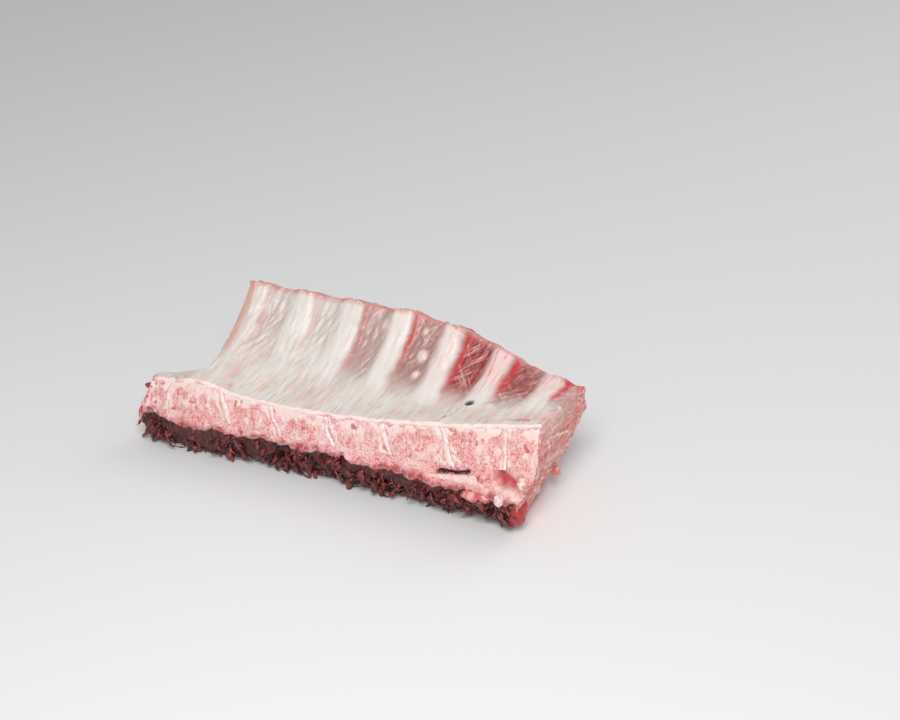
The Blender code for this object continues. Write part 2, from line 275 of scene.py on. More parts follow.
def tube_faces(rows, around):
    """Quads of a tube of rings, as indices."""
    row, k = np.meshgrid(np.arange(rows - 1), np.arange(around), indexing="ij")
    low, high, following = row * around, (row + 1) * around, (k + 1) % around
    return np.stack([low + k, low + following, high + following, high + k], axis=-1).reshape(-1, 4)


def capped_tube(rings, steps=4):
    """Rings with rings that shrink to the middle at both ends, and the faces of the closed surface."""
    shares = np.linspace(0.02, 1.0, steps, endpoint=False)[:, None, None]
    first, last = rings[0].mean(axis=0), rings[-1].mean(axis=0)
    start, end = first + (rings[0] - first) * shares, last + (rings[-1] - last) * shares[::-1]
    rings = np.concatenate([start, rings, end])
    rows, around = rings.shape[:2]
    points = rings.reshape(-1, 3)
    faces = outward(points, tube_faces(rows, around))
    turned = faces[0, 1] != 1
    lids = [list(range(around)), list(range(points.shape[0] - around, points.shape[0]))]
    lids = [lids[0] if turned else lids[0][::-1], lids[1][::-1] if turned else lids[1]]
    return rings, points, faces.tolist() + lids


def lattice_shell(steps):
    """The outside of a lattice of points: an array of (i, j, k) for its vertices, and its quads."""
    count = np.array(steps) + 1
    grid = np.stack(np.meshgrid(*[np.arange(n) for n in count], indexing="ij"), axis=-1).reshape(-1, 3)
    outside = ((grid == 0) | (grid == np.array(steps))).any(axis=1)
    number = np.full(len(grid), -1)
    number[outside] = np.arange(outside.sum())
    number = number.reshape(count)
    quads = []
    for axis in range(3):
        for side in (0, -1):
            sheet = np.moveaxis(number, axis, 0)[side]
            corners = [sheet[:-1, :-1], sheet[1:, :-1], sheet[1:, 1:], sheet[:-1, 1:]]
            turned = (side == 0) ^ (axis == 1)
            quads.append(np.stack(corners[::-1] if turned else corners, axis=-1).reshape(-1, 4))
    return grid[outside], np.concatenate(quads)


# %% [markdown]
# ## Shader maths as Python
# A material is a tree of nodes. A small class wraps a number socket, so that `1 - mask * 0.5` adds the
# Math nodes by itself. Colours are mixed with the Mix node.


# %% Node helpers
class Number:
    """A socket that carries a number; arithmetic on it adds Math nodes."""

    def __init__(self, tree, socket):
        self.tree, self.socket = tree, socket

    def math(self, operation, first, second):
        made = self.tree.nodes.new("ShaderNodeMath")
        made.operation = operation
        for place, value in enumerate((first, second)):
            connect(self.tree, made.inputs[place], value)
        return Number(self.tree, made.outputs[0])

    def absolute(self):
        return self.math("ABSOLUTE", self, 0.0)

    def __add__(self, other):
        return self.math("ADD", self, other)

    def __sub__(self, other):
        return self.math("SUBTRACT", self, other)

    def __rsub__(self, other):
        return self.math("SUBTRACT", other, self)

    def __mul__(self, other):
        return self.math("MULTIPLY", self, other)

    __radd__, __rmul__ = __add__, __mul__


def connect(tree, socket, value):
    """Links a socket to another, or sets it to a value."""
    if isinstance(value, Number):
        tree.links.new(value.socket, socket)
    elif isinstance(value, bpy.types.NodeSocket):
        tree.links.new(value, socket)
    else:
        socket.default_value = value


class Finish:
    """A material under construction: its tree and its Principled shader."""

    def __init__(self, name):
        self.material = bpy.data.materials.new(name)
        self.material.use_nodes = True
        self.tree = self.material.node_tree
        self.shader = self.tree.nodes["Principled BSDF"]
        self.place = self.node("ShaderNodeTexCoord").outputs["Object"]

    def node(self, kind, settings=None, inputs=None):
        made = self.tree.nodes.new(kind)
        for key, value in (settings or {}).items():
            setattr(made, key, value)
        for key, value in (inputs or {}).items():
            connect(self.tree, made.inputs[key], value)
        return made

    def mask(self, name):
        made = self.node("ShaderNodeAttribute", {"attribute_name": name})
        return Number(self.tree, made.outputs["Fac"])

    def speckle(self, size, detail=2.0, stretch=(1.0, 1.0, 1.0), distortion=0.0, on=None, turn=0.0):
        """Noise from 0 to 1 with features of about this size in metres, on an attribute or in space."""
        place = self.place
        if on:
            place = self.node("ShaderNodeAttribute", {"attribute_name": on}).outputs["Vector"]
        if turn:
            inputs = {"Vector": place, "Angle": turn}
            place = self.node("ShaderNodeVectorRotate", {"rotation_type": "Z_AXIS"}, inputs).outputs[0]
        scaled = self.node("ShaderNodeMapping", None, {"Vector": place, "Scale": stretch})
        inputs = {"Vector": scaled.outputs[0], "Scale": 1.0 / size}
        inputs |= {"Detail": detail, "Distortion": distortion}
        return Number(self.tree, self.node("ShaderNodeTexNoise", None, inputs).outputs["Fac"])

    def step(self, value, low, high):
        """A number from 0 to 1 as the value goes from low to high, smoothly."""
        inputs = {"Value": value, "From Min": low, "From Max": high}
        made = self.node("ShaderNodeMapRange", {"interpolation_type": "SMOOTHSTEP"}, inputs)
        return Number(self.tree, made.outputs[0])

    def threads(self, apart, turn, length=0.10, thin=0.04, on="strip"):
        """Thin lines along a turned axis, about this far apart: 1 where the noise crosses its middle."""
        wave = self.speckle(apart, 1.0, (1.0, length, 1.0), 0.2, on, turn)
        return self.step((wave - 0.5).absolute(), thin, 0.0)

    def mix(self, share, first, second):
        made = self.node("ShaderNodeMix", {"data_type": "RGBA"}, {0: share})
        connect(self.tree, made.inputs[6], first)
        connect(self.tree, made.inputs[7], second)
        return made.outputs[2]

    def wet(self, colour, roughness, height, bump=0.3, distance=0.0004, coat=0.25, inner=0.12):
        """The last step: colour, gloss and a faint bump, with a thin wet coat and some light inside."""
        relief = self.node("ShaderNodeBump", None, {"Strength": bump, "Distance": distance, "Height": height})
        connect(self.tree, self.shader.inputs["Base Color"], colour)
        connect(self.tree, self.shader.inputs["Roughness"], roughness)
        connect(self.tree, self.shader.inputs["Normal"], relief.outputs[0])
        self.shader.inputs["Coat Weight"].default_value = coat
        self.shader.inputs["Coat Roughness"].default_value = 0.25
        self.shader.inputs["Subsurface Weight"].default_value = inner
        self.shader.inputs["Subsurface Scale"].default_value = 0.002
        self.shader.inputs["Subsurface Radius"].default_value = (1.0, 0.35, 0.25)
        return self.material


def srgb(red, green, blue):
    """A colour that is written as it is seen, from 0 to 255, made linear."""
    parts = [value / 255 for value in (red, green, blue)]
    linear = [v / 12.92 if v < 0.04045 else ((v + 0.055) / 1.055) ** 2.4 for v in parts]
    return (*linear, 1.0)


# %% [markdown]
# ## The flesh
# One closed skin carries the whole block of meat: the membrane over the ribs, the fibres between them,
# the ragged underside and the two cut ends. It is the outside of a fine lattice, so each vertex knows its
# share along the spine, out to the rim and through the thickness. All relief is worked out from those
# shares, so neighbouring sides meet without a gap.

# %% Lattice of the flesh
END_GRAIN = np.array([[0.3, 0.0, 0.0], [0.0, 0.20, 0.80], [0.0, -0.15, 0.60]])
FLESH_STEPS = (300, 100, 36)
flesh_places, flesh_quads = lattice_shell(FLESH_STEPS)
flesh_along, flesh_out, flesh_through = (flesh_places / np.array(FLESH_STEPS)).T
flesh_rest, flesh_base, flesh_up = block(flesh_along, flesh_out, flesh_through)
print("the flesh has", len(flesh_quads) * 2, "triangles")

# %% Where on the rack a vertex is
inner_side = 1.0 - smooth(0.02, 0.30, flesh_through)
outer_side = smooth(0.55, 0.95, flesh_through)
at_rim = smooth(0.955, 1.0, flesh_out)
off_rib = flesh_base[:, None] - RIB_BASES
nearest_rib = np.abs(off_rib).argmin(axis=1)
from_rib = off_rib[np.arange(len(off_rib)), nearest_rib]
gap_number = (off_rib > 0.0).sum(axis=1)

# %% [markdown]
# The spaces between the ribs differ from left to right: pale membrane first, then grey-brown folds, then
# bare dark red muscle. Lists give the strength of each, from the strip left of the first rib to the one
# right of the last.

# %% Masks of the inner side
GAP_MUSCLE = np.array([0.04, 0.20, 0.06, 0.62, 0.85, 1.00, 0.95, 0.55])
GAP_REDNESS = np.array([0.25, 0.25, 0.15, 0.10, 0.25, 1.00, 0.72, 0.45])
GAP_DEPTH = np.array([0.0, -0.0008, -0.0010, -0.0004, 0.0, 0.0009, 0.0009, 0.0002])
RIB_WHITENESS = np.array([0.20, 0.35, 0.45, 0.85, 1.00, 1.00, 0.90])
RIB_RED_EDGE = np.array([0.15, 0.25, 0.45, 0.80, 0.90, 1.00, 1.00])
RIB_PINKNESS = np.array([0.20, 0.02, 0.00, 0.12, 0.35, 1.00, 0.90])
REACH_LENGTH, THICKNESS_LENGTH = 0.078, 0.03
strip = np.stack([flesh_base, flesh_out * REACH_LENGTH, flesh_through * THICKNESS_LENGTH], axis=-1)
waver = 0.0014 * noise(flesh_rest, 0.017, 3) + 0.0007 * noise(flesh_rest, 0.005, 4)
on_rib = bell(from_rib + waver, -0.0005, 0.0074, 5)
below = 0.40 - 0.12 * noise(flesh_rest, 0.02, 7)
high_up = smooth(-0.20, 0.22, flesh_out - below)
between = (1.0 - on_rib) * high_up * inner_side
muscle = between * GAP_MUSCLE[gap_number]
redness = GAP_REDNESS[gap_number] + 0.15 * noise(flesh_rest, 0.008, 11)
edge_line = bell(from_rib + waver, 0.0081, 0.0012) * RIB_RED_EDGE[nearest_rib]
edge_line = edge_line * smooth(0.30, 0.80, flesh_out + 0.2 * noise(flesh_rest, 0.012, 13)) * inner_side
print("mean muscle on the inner side:", muscle[inner_side > 0.9].mean().round(3))

# %% [markdown]
# A few marks are single things on the real rack: a small hole between two ribs, lumps of fat under the
# membrane, and a torn hollow low on the sawn face. Each is a bell-shaped dent or bump at a place on the
# rack, given as metres along the spine and a share of the way out. The hole is also painted near black, as
# painted shade.

# %% Single marks on the inner side
HOLE = (0.1894, 0.323, 0.0022)
FAT_LUMPS = [
    (0.162, 0.90, 0.0030, 0.0010),
    (0.161, 0.68, 0.0034, 0.0013),
    (0.1465, 0.72, 0.0028, 0.0022),
    (0.1475, 0.55, 0.0022, 0.0014),
    (0.143, 0.90, 0.0020, 0.0012),
    (0.118, 0.88, 0.0024, 0.0010),
    (0.082, 0.40, 0.0030, 0.0007),
    (0.060, 0.55, 0.0026, 0.0007),
    (0.202, 0.30, 0.0030, 0.0010),
]


def spot(base, out, radius, long=1.0):
    """A bell around a place of the inner side, 1 in its middle."""
    away = np.hypot(flesh_base - base, (flesh_out - out) * REACH_LENGTH / long)
    return bell(away, 0.0, radius, 3) * inner_side


hole = spot(*HOLE)
slit = spot(0.181, 0.10, 0.0009, 2.0)
lump_rise = sum(height * spot(base, out, radius, 1.3) for base, out, radius, height in FAT_LUMPS)
lump_mask = np.clip(lump_rise / 0.0012, 0.0, 1.0)

# %% Relief of the flesh
fibre_run = strip * (1.0, 0.16, 0.4)
slant_run = (strip @ np.array([[0.88, 0.47, 0.0], [-0.47, 0.88, 0.0], [0.0, 0.0, 1.0]])) * (1.0, 0.08, 0.4)
strands = rough(fibre_run, 0.0024, 3, 21)
folds = 1.0 - np.abs(rough(slant_run, 0.0040, 3, 23))
lumps = rough(flesh_rest, 0.012, 3, 31)
crags = 1.0 - 2.0 * np.abs(rough(flesh_rest * (1.0, 1.0, 0.7), 0.0075, 4, 41))
under_face = outer_side * (1.0 - smooth(0.10, 0.30, flesh_out))
torn_under = under_face * (0.30 + 0.70 * smooth(0.01, 0.05, flesh_out))
in_gap = (1.0 - on_rib) * inner_side * smooth(0.2, 0.6, flesh_out)
rise = 0.00045 * lumps * inner_side * (1.0 - 0.5 * on_rib)
rise += 0.00030 * strands * inner_side
rise += (0.00020 * strands + 0.00095 * (folds - 0.7) - GAP_DEPTH[gap_number]) * in_gap
rise -= 0.0009 * bell(from_rib + waver, 0.0085, 0.0016) * inner_side * smooth(0.35, 0.8, flesh_out)
rise += lump_rise - 0.0022 * hole - 0.0012 * slit
rise -= (0.0010 * lumps + 0.0008 * crags) * outer_side * (1.0 - under_face)
rise -= (0.0030 * crags + 0.0012 * noise(flesh_rest, 0.0028, 43)) * torn_under
flesh_points = flesh_rest + flesh_up * rise[:, None]
ragged = [noise(flesh_rest, 0.0045, 51 + k) + noise(flesh_rest, 0.011, 55 + k) for k in range(3)]
ragged = np.stack(ragged, axis=-1)
flesh_points += ragged * (0.0009 * at_rim)[:, None]
end_left = bell(flesh_along, 0.0, 0.012, 4) * (1.0 - inner_side * smooth(0.3, 0.9, flesh_out))
end_right = bell(flesh_along, 1.0, 0.012, 4)
end_rise = 0.0009 * lumps + 0.0006 * crags + 0.0008 * noise(flesh_rest @ END_GRAIN, 0.003, 57)
flesh_points[:, 0] += end_rise * (end_left + end_right)
at_foot = smooth(0.80, 1.0, flesh_through) * (1.0 - smooth(0.0, 0.06, flesh_out))
shreds = np.stack([noise(flesh_rest, 0.0026, 58 + k) for k in range(3)], axis=-1)
flesh_points += (0.0011 * ragged + 0.0012 * shreds) * at_foot[:, None]
flesh_points[:, 2] = np.maximum(flesh_points[:, 2], 0.0)

# %% Masks of the other sides
CANAL_X, CANAL_FADE, CANAL_DOWN = (0.184, 0.206), 0.003, 0.0272
TORN_X, TORN_DOWN, TORN_FALL = 0.2285, 0.0320, 0.4
fat_run = np.stack([flesh_base - 0.022 * flesh_out, flesh_out * 0.010, flesh_through * 0.01], axis=-1)
fat_streaks = smooth(0.0, 0.75, rough(fat_run, 0.0036, 3, 61)) * inner_side
fat_streaks *= bell(flesh_out, 0.17, 0.17) * smooth(0.02, 0.05, flesh_out)
near_edge = (1.0 - smooth(0.05, 0.10, flesh_out)) * inner_side * (1.0 - smooth(0.25, 0.45, flesh_along))
blood_spots = smooth(0.62, 0.85, rough(flesh_rest, 0.0040, 2, 71)) * near_edge
blood_spots *= smooth(0.0, 0.5, noise(flesh_rest, 0.03, 72))
corner_out = flesh_out + 0.08 * noise(flesh_rest, 0.006, 73)
corner_blood = smooth(0.222, 0.236, flesh_base) * smooth(0.84, 0.97, corner_out)
blood_out = 0.09 + 0.03 * noise(flesh_rest, 0.008, 74)
base_blood = bell(flesh_base, 0.228, 0.010) * bell(flesh_out, blood_out, 0.022)
blood_spots = np.clip(0.9 * blood_spots + 1.5 * (corner_blood + base_blood) * inner_side, 0.0, 1.6)
on_face = (flesh_places[:, 1] == 0) * 1.0
face_down = (face_top(flesh_base / SPINE_LENGTH) - flesh_rest[:, 2]) / math.cos(FACE_TILT)
face_cortex = 1.0 - smooth(0.0012, 0.0030, face_down + 0.0012 * noise(flesh_rest, 0.006, 77))
raw = outer_side * (1.0 - on_face)
left_cut = bell(flesh_along, 0.0, 0.006, 4) * smooth(0.0, 0.10, flesh_through)
right_cut = end_right * (1.0 - 0.5 * inner_side * (flesh_out < 0.9))
cut_end = np.clip(left_cut + right_cut, 0.0, 1.0) * (1.0 - on_face)

from_foot = face_width(flesh_base / SPINE_LENGTH) - face_down
foot_red = (1.0 - smooth(-0.0005, 0.0035, from_foot + 0.0028 * rough(flesh_rest, 0.006, 3, 95))) * on_face
left_red = (1.0 - smooth(0.0, 0.006, flesh_base + 0.003 * noise(flesh_rest, 0.005, 96))) * on_face
torn_x = flesh_base + 0.0030 * noise(flesh_rest, 0.006, 97)
torn_down = face_down - TORN_FALL * (flesh_base - TORN_X) + 0.0020 * noise(flesh_rest, 0.004, 98)
torn = bell(torn_x, TORN_X, 0.0080, 3) * bell(torn_down, TORN_DOWN, 0.0042, 3) * on_face
slot_run = smooth(CANAL_X[0], CANAL_X[0] + CANAL_FADE, flesh_base)
slot_run *= 1.0 - smooth(CANAL_X[1] - CANAL_FADE, CANAL_X[1], flesh_base)
slot_down = CANAL_DOWN + 0.0005 * noise(flesh_rest, 0.004, 93)
# The canal is a dent in the face that the shader paints near black: painted shade.
canal = slot_run * bell(face_down, slot_down, 0.0011, 4) * on_face
face_dent = 0.0034 * torn + 0.0030 * canal + 0.0005 * on_face * rough(flesh_rest, 0.0035, 2, 91)
flesh_points -= face_normal * face_dent[:, None]
left_strip = smooth(RIB_BASES[0] + 0.002, RIB_BASES[0] - 0.003, flesh_base) * inner_side
left_strip *= smooth(0.25, 0.5, flesh_out)
flesh_masks = {
    "strip": strip,
    "on_rib": on_rib * RIB_WHITENESS[nearest_rib] * inner_side * smooth(0.15, 0.40, flesh_out),
    "rib_pink": RIB_PINKNESS[nearest_rib] * smooth(0.35, 0.8, flesh_out),
    "muscle": muscle,
    "redness": redness,
    "edge_line": edge_line,
    "fat": fat_streaks,
    "lump": lump_mask,
    "hole": np.clip(hole * 2.2 + slit * 0.7, 0.0, 1.0),
    "blood": blood_spots,
    "raw": raw,
    "rim": at_rim,
    "cut_end": cut_end,
    # Where the shader paints the torn meat under the sawn face darker, as painted shade.
    "under": under_face,
    "left_strip": left_strip,
    "on_face": on_face,
    "cortex": face_cortex * on_face,
    "torn": np.clip(torn * (1.2 + 0.6 * lumps), 0.0, 1.0),
    "canal": np.clip(canal * 1.8, 0.0, 1.0),
    "foot_red": np.maximum(foot_red, left_red),
}
flesh_quads = outward(flesh_points, flesh_quads)
flesh = add_piece("flesh", flesh_points, flesh_quads.tolist(), ["meat"], flesh_masks)
print("the flesh spans", np.ptp(flesh_points, axis=0).round(4))

# %% [markdown]
# The flesh material mixes from pale to dark: membrane, white ribs, pink streaks of fat, grey-brown or
# red muscle, and the raw red of the underside, painted darker under the sawn face as painted shade. The
# masks say where, and noise breaks up every edge.

# %% Flesh colours
MEMBRANE = srgb(224, 217, 210)
MEMBRANE_GREY = srgb(196, 178, 170)
RIB_WHITE = srgb(238, 231, 225)
RIB_PINK = srgb(236, 198, 194)
GREY_MUSCLE = srgb(146, 98, 88)
RED_MUSCLE = srgb(142, 20, 28)
FIBRE_PALE = srgb(226, 178, 170)
EDGE_RED = srgb(212, 30, 50)
FAT_ORANGE = srgb(234, 186, 168)
FAT_WHITE = srgb(238, 218, 208)
# This dark red is darker than raw meat's own red: it is painted shade under the sawn face and on the hanging
# fibres.
RAW_RED_WITH_PAINTED_SHADE = srgb(58, 8, 10)
RAW_PALE = srgb(142, 50, 46)
OUTER_RED = srgb(138, 34, 36)
OUTER_PALE = srgb(184, 84, 78)
RIM_PINK = srgb(214, 138, 132)
END_SALMON = srgb(230, 144, 134)
END_RED = srgb(194, 70, 70)
FASCIA_WHITE = srgb(242, 222, 216)
STRIP_PINK = srgb(204, 148, 132)
BONE_PINK = srgb(234, 180, 176)
BONE_RED = srgb(208, 92, 96)
BONE_WHITE = srgb(246, 224, 217)
MARROW_RED = srgb(190, 36, 48)
# Near black for the canal slot and the small hole: painted shade in the recesses.
PAINTED_HOLE_SHADE = srgb(58, 8, 8)
FOOT_RED = srgb(164, 34, 44)
BLOOD = srgb(196, 40, 52)


def flesh_finish():
    """Membrane, fibres, fat and raw meat, mixed by the masks, with painted shade under the sawn face and in
    the canal and hole.
    """
    f = Finish("flesh")
    cloudy = f.speckle(0.016, 3.0)
    fine = f.speckle(0.0022, 3.0, (1.0, 0.5, 0.5))
    streak = f.speckle(0.0018, 3.0, (1.0, 0.14, 1.0), 0.4, "strip", 0.15)
    crossing = f.threads(0.0030, 0.70, 0.07, 0.030) + f.threads(0.0042, -0.60, 0.07, 0.020) * 0.8
    crossing = crossing + f.threads(0.0016, 0.45, 0.06, 0.06) * 0.5
    lengthwise = f.threads(0.0022, 0.12, 0.05, 0.05)
    colour = f.mix(f.step(cloudy, 0.40, 0.72) * 0.5, MEMBRANE, MEMBRANE_GREY)
    colour = f.mix(f.step(streak, 0.48, 0.70) * 0.70, colour, MEMBRANE_GREY)
    colour = f.mix(lengthwise * 0.35, colour, RIB_WHITE)
    colour = f.mix(f.mask("on_rib") * 0.75, colour, RIB_WHITE)
    pink = f.mask("on_rib") * f.mask("rib_pink") * (0.35 + streak)
    colour = f.mix(pink, colour, RIB_PINK)
    colour = f.mix(f.mask("left_strip") * (0.6 + 0.4 * streak), colour, STRIP_PINK)
    colour = f.mix(f.mask("fat") * 0.60, colour, FAT_ORANGE)
    dark = f.mix(f.mask("redness"), GREY_MUSCLE, RED_MUSCLE)
    dark = f.mix(f.step(streak, 0.46, 0.74) * 0.35, dark, FIBRE_PALE)
    fibres = f.mix(crossing * f.step(cloudy, 0.30, 0.62) * 0.55, dark, FIBRE_PALE)
    colour = f.mix(f.mask("muscle") * (0.85 + 0.3 * fine), colour, fibres)
    veins = f.threads(0.0030, 0.05, 0.06, 0.05) * f.mask("on_rib") * f.mask("rib_pink")
    colour = f.mix(veins * 0.6, colour, EDGE_RED)
    colour = f.mix(f.mask("edge_line") * f.step(fine, 0.20, 0.50), colour, EDGE_RED)
    colour = f.mix(f.mask("lump") * 0.8, colour, FAT_WHITE)
    colour = f.mix(f.mask("rim") * f.step(fine, 0.2, 0.6) * 0.9, colour, RIM_PINK)
    outside = f.mix(f.step(fine, 0.35, 0.65), OUTER_RED, OUTER_PALE)
    seams = f.threads(0.034, 0.3, 0.25, 0.03, None) * 0.4 + f.step(cloudy, 0.54, 0.70) * 0.5
    outside = f.mix(seams, outside, FAT_WHITE)
    # Painted shade: under the sawn face the raw meat is painted darker than its own red.
    shaded_torn_meat = f.mix(f.step(fine, 0.40, 0.75) * 0.6, RAW_RED_WITH_PAINTED_SHADE, RAW_PALE)
    raw = f.mix(f.mask("under"), outside, shaded_torn_meat)
    colour = f.mix(f.mask("raw"), colour, raw)
    grain = f.speckle(0.0016, 3.0, (1.0, 0.16, 1.0), 0.4)
    salmon = f.mix(f.step(grain, 0.42, 0.66) * 0.8, END_SALMON, END_RED)
    salmon = f.mix(f.step(grain, 0.42, 0.32) * 0.7, salmon, FASCIA_WHITE)
    fascia = f.threads(0.016, 0.5, 0.6, 0.035, None) + f.threads(0.009, -0.4, 0.5, 0.020, None) * 0.6
    salmon = f.mix(fascia * 0.85, salmon, FASCIA_WHITE)
    colour = f.mix(f.mask("cut_end"), colour, salmon)
    pores = f.speckle(0.0011, 3.0)
    bone = f.mix(f.step(pores, 0.42, 0.68), BONE_PINK, BONE_RED)
    bone = f.mix(f.step(cloudy, 0.42, 0.66) * 0.5 + f.mask("cortex"), bone, BONE_WHITE)
    colour = f.mix(f.mask("on_face"), colour, bone)
    colour = f.mix(f.mask("foot_red") * f.step(fine, 0.25, 0.50) * 0.85, colour, FOOT_RED)
    # The torn hollow mixes in the same darkened red, which adds painted shade in the dent.
    colour = f.mix(f.mask("torn"), colour, f.mix(f.step(fine, 0.50, 0.70) * 0.6, MARROW_RED, RAW_RED_WITH_PAINTED_SHADE))
    # Painted shade: the canal slot is painted near black.
    colour = f.mix(f.mask("canal"), colour, PAINTED_HOLE_SHADE)
    colour = f.mix(f.mask("blood") * 0.5 * f.step(fine, 0.35, 0.55), colour, BLOOD)
    # Painted shade: the small hole and slit are painted near black.
    colour = f.mix(f.mask("hole"), colour, PAINTED_HOLE_SHADE)
    gloss = 0.40 + 0.22 * f.speckle(0.006, 2.0) - 0.10 * f.mask("muscle")
    return f.wet(colour, gloss, streak * 1.3 + fine * 0.5 + crossing * 0.15, 0.45)


flesh.data.materials.append(flesh_finish())

# %% [markdown]
# ## The split spine
# A saw went down the middle of the spine, so each vertebra shows its inside: pink spongy bone with a fine
# speckle of red, a thin white cortex, and white growth plates beside the discs of gristle.

# %% Sizes of the split spine
TISSUE_GAP = 0.0003
FIRST_DISC_X, DISC_PITCH, DISC_PITCH_GROWTH, DISC_THICKNESS = 0.0140, 0.0302, 0.0007, 0.0030
DISC_LEAN_AT_LEFT, DISC_LEAN = -0.31, 0.45
BODY_FROM, BODY_TO, BODY_TO_GROWTH = 0.0024, 0.0185, 0.0070
BODY_DEPTH, BODY_DEPTH_LOSS_AT_LEFT = 0.0140, 0.40
FACE_PROUD = 0.0003
FRONT_POINTS, BACK_POINTS = 84, 22


def disc_x(index):
    """Place of a disc along the spine."""
    return FIRST_DISC_X + DISC_PITCH * index + DISC_PITCH_GROWTH * index * index


def disc_lean(along):
    """Shift to the right of a disc for each metre down the face."""
    swing = (DISC_LEAN - DISC_LEAN_AT_LEFT) * smooth(0.03, 0.17, along)
    return DISC_LEAN_AT_LEFT + swing - DISC_LEAN * smooth(0.80, 1.0, along)


def column_rings(x, depth_share, relief, seed):
    """Rings of the split spine at each x: a straight sawn side with relief, and a half-round back."""
    along = (x / SPINE_LENGTH)[:, None]
    low, high = BODY_FROM, BODY_TO + BODY_TO_GROWTH * smooth(0.5, 0.85, along)
    turn = np.linspace(0.0, math.pi, BACK_POINTS)[1:-1]
    front = np.linspace(1.0, 0.0, FRONT_POINTS)
    back_down = (1.0 - np.cos(turn)) / 2
    share = np.concatenate([front, back_down])
    down = low + (high - low) * share
    depth = BODY_DEPTH * (1.0 - BODY_DEPTH_LOSS_AT_LEFT * (1.0 - smooth(0.08, 0.22, along)))
    deep = np.concatenate([np.zeros(FRONT_POINTS), np.sin(turn) ** 0.7]) * depth * depth_share[:, None]
    on_front = np.concatenate([np.sin(math.pi * front) ** 0.25, np.zeros(BACK_POINTS - 2)])
    straight = face_point(along + disc_lean(along) * down / SPINE_LENGTH, down, 0.0 * deep)
    wave = 0.0022 * noise(straight, 0.009, 190) + 0.0008 * noise(straight, 0.004, 191)
    wave = wave * smooth(0.0, 0.02, along) * (1.0 - smooth(0.97, 0.99, along))
    shifted = along + (disc_lean(along) * down + wave) / SPINE_LENGTH
    points = face_point(shifted, down, deep - FACE_PROUD * on_front)
    pits = rough(points, 0.0040, 2, seed) + 0.8 * noise(points, 0.0013, seed + 5)
    return points + relief * (pits * on_front)[..., None] * face_normal, np.broadcast_to(down, deep.shape)


# %% Vertebra halves
BODY_WAIST = 0.14
PLATE_INSET, PLATE_WIDTH = 0.0013, 0.0011
vertebrae = []
for index in range(RIB_COUNT + 1):
    half = DISC_THICKNESS / 2 + TISSUE_GAP
    start = TISSUE_GAP if index == 0 else disc_x(index - 1) + half
    end = SPINE_LENGTH - TISSUE_GAP if index == RIB_COUNT else disc_x(index) - half
    x = np.linspace(start, end, max(12, int((end - start) / 0.00040)))
    waist = 1.0 - BODY_WAIST * np.sin(math.pi * (x - start) / (end - start))
    rings, down = column_rings(x, waist, 0.00028, 100 + index)
    all_rings, points, faces = capped_tube(rings)
    to_end = np.minimum(x - start, end - x)
    wander = 0.0022 * rough(rings, 0.007, 2, 171 + index)
    plate = bell(to_end[:, None] + wander, PLATE_INSET, PLATE_WIDTH)
    plate *= smooth(-0.5, 0.3, noise(rings, 0.008, 181))
    cortex = 1.0 - smooth(0.0, 0.0020, down - BODY_FROM + 1.4 * wander)
    height = 1.0 - smooth(0.001, 0.009, down - BODY_FROM)
    pad = [(4, 4), (0, 0)]
    masks = {"plate": plate, "cortex": cortex, "height": height}
    masks = {mask: np.pad(values, pad).ravel() for mask, values in masks.items()}
    name = f"vertebra_{index + 1}"
    vertebrae.append(add_piece(name + "_bone", points, faces, [name], masks))
print("made", len(vertebrae), "vertebra halves")

# %% Bone finish
def bone_finish(name):
    """Spongy bone: pink with pores, red spots of marrow, and white plates and cortex."""
    f = Finish(name)
    pores = f.speckle(0.0010, 3.0)
    streaky = f.speckle(0.0013, 2.0, (1.0, 0.5, 0.35))
    cloudy = f.speckle(0.007, 3.0, (1.0, 1.0, 0.7), 0.3)
    spots = f.speckle(0.0048, 3.0, (1.0, 1.0, 0.6), 0.6)
    colour = f.mix(f.step(pores, 0.44, 0.66) * 0.85, BONE_PINK, BONE_RED)
    colour = f.mix(f.step(streaky, 0.50, 0.36) * 0.55, colour, BONE_WHITE)
    high = f.mask("height")
    colour = f.mix(f.step(cloudy, 0.50, 0.32) * 0.30, colour, BONE_RED)
    colour = f.mix(f.step(cloudy + 0.24 * high, 0.50, 0.70) * 0.75, colour, BONE_WHITE)
    colour = f.mix(f.step(spots, 0.63, 0.70) * 0.75, colour, MARROW_RED)
    colour = f.mix(f.mask("plate") * f.step(spots, 0.20, 0.50), colour, BONE_WHITE)
    colour = f.mix(f.mask("cortex") * 0.9, colour, BONE_WHITE)
    return f.wet(colour, 0.42 + 0.25 * pores, pores, 0.6, 0.0006)


spongy_bone = bone_finish("spongy_bone")
for piece in vertebrae:
    piece.data.materials.append(spongy_bone)

# %% Discs of gristle
GRISTLE_WHITE = srgb(244, 222, 218)
GRISTLE_PINK = srgb(228, 176, 172)


def gristle_finish():
    """Smooth pale cartilage, pinker in clouds."""
    f = Finish("gristle")
    cloudy = f.speckle(0.003, 2.0)
    colour = f.mix(f.step(cloudy, 0.42, 0.70) * 0.8, GRISTLE_WHITE, GRISTLE_PINK)
    return f.wet(colour, 0.30 + 0.15 * cloudy, cloudy, 0.2, 0.0004, 0.4)


gristle = gristle_finish()
for index in range(RIB_COUNT):
    x = disc_x(index) + np.linspace(-0.5, 0.5, 9) * DISC_THICKNESS
    crown = 0.94 * (1.0 - 0.10 * np.linspace(-1, 1, 9) ** 2)
    rings, down = column_rings(x, crown, 0.00015, 140 + index)
    bulge = 0.0005 * (1.0 - np.linspace(-1, 1, 9) ** 2)
    rings = rings + bulge[:, None, None] * face_normal * (np.arange(rings.shape[1]) < FRONT_POINTS)[:, None]
    all_rings, points, faces = capped_tube(rings)
    disc = add_piece(f"disc_{index + 1}_gristle", points, faces, [f"disc_{index + 1}"])
    disc.data.materials.append(gristle)

